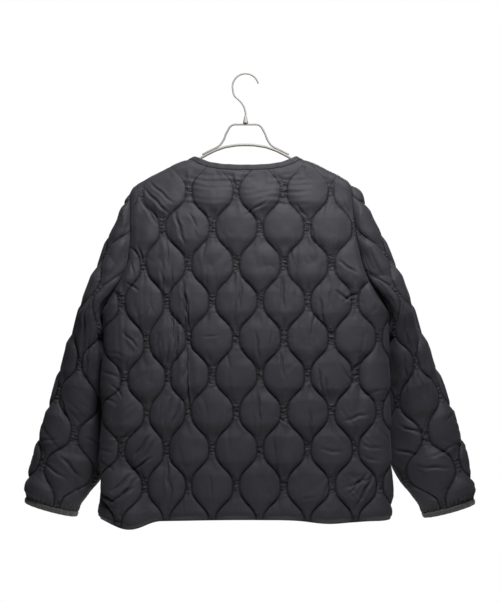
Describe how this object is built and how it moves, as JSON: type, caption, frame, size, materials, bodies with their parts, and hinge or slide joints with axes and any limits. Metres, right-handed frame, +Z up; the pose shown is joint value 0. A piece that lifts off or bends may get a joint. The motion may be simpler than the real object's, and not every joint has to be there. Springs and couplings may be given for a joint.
{
  "type": "quilted jacket on a hanger",
  "caption": "Collarless padded jacket with wavy ogee quilting, V-neck, snap front, long sleeves with elastic cuffs, hung on a slim wire hanger.",
  "frame": {"origin": "inner crown of the hanger's hook, where the rail carries it", "axes": "+Z up; the fronts face -Y and the back faces +Y; +X is the wearer's left"},
  "size_m": [0.9065, 0.163, 0.8991],
  "materials": {
    "quilted_nylon": "padded nylon taffeta with a soft sheen",
    "elastic_binding": "matte ribbed elastic",
    "painted_metal": "satin dark paint",
    "satin_steel": "satin"
  },
  "bodies": {
    "root": {"back": "quilted_nylon", "front_left": "quilted_nylon", "front_right": "quilted_nylon", "sleeve_left": "quilted_nylon", "sleeve_right": "quilted_nylon", "neck_band": "quilted_nylon", "cuff_left": "elastic_binding", "cuff_right": "elastic_binding", "stud_1": "painted_metal", "stud_2": "painted_metal", "stud_3": "painted_metal", "stud_4": "painted_metal", "stud_5": "painted_metal", "hanger_hook": "satin_steel", "hanger_ferrule": "satin_steel", "hanger_frame": "satin_steel", "hanger_bar": "satin_steel"}
  },
  "joints": []
}
